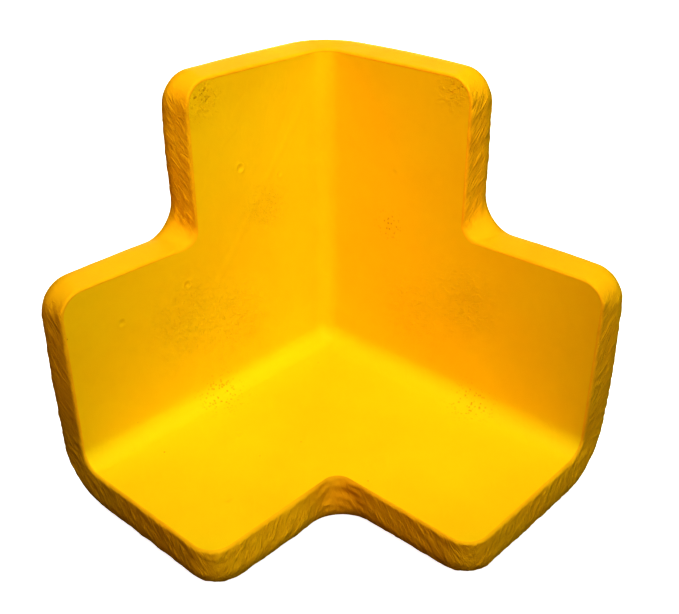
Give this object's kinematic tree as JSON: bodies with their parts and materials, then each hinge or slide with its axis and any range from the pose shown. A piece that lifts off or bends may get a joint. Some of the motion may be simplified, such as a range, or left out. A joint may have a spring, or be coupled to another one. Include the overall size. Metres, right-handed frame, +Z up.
{
  "type": "foam corner guard",
  "caption": "Three-way foam corner guard: three L-shaped padded walls meet in a filleted inner corner that cups and cushions the corner of a box, beam or table.",
  "frame": {"origin": "under the middle of the guard's bounding box, on the surface that the floor wall rests on", "axes": "+Z up, along the upright arm; +X and +Y along the two floor arms, so the three inner faces look along +X, +Y and +Z, and the sharp inner corner is at (-0.066, -0.066, 0.018) m"},
  "size_m": [0.168, 0.168, 0.168],
  "materials": {
    "grained_skin": "leather-grained self-skin, satin yellow",
    "foam": "fine closed-cell foam, dull pale yellow",
    "smooth_skin": "smooth self-skin with a soft satin sheen and a few pinholes, bright yellow"
  },
  "bodies": {
    "root": {"outer_skin": "grained_skin", "foam_core": "foam", "inner_skin": "smooth_skin"}
  },
  "joints": []
}
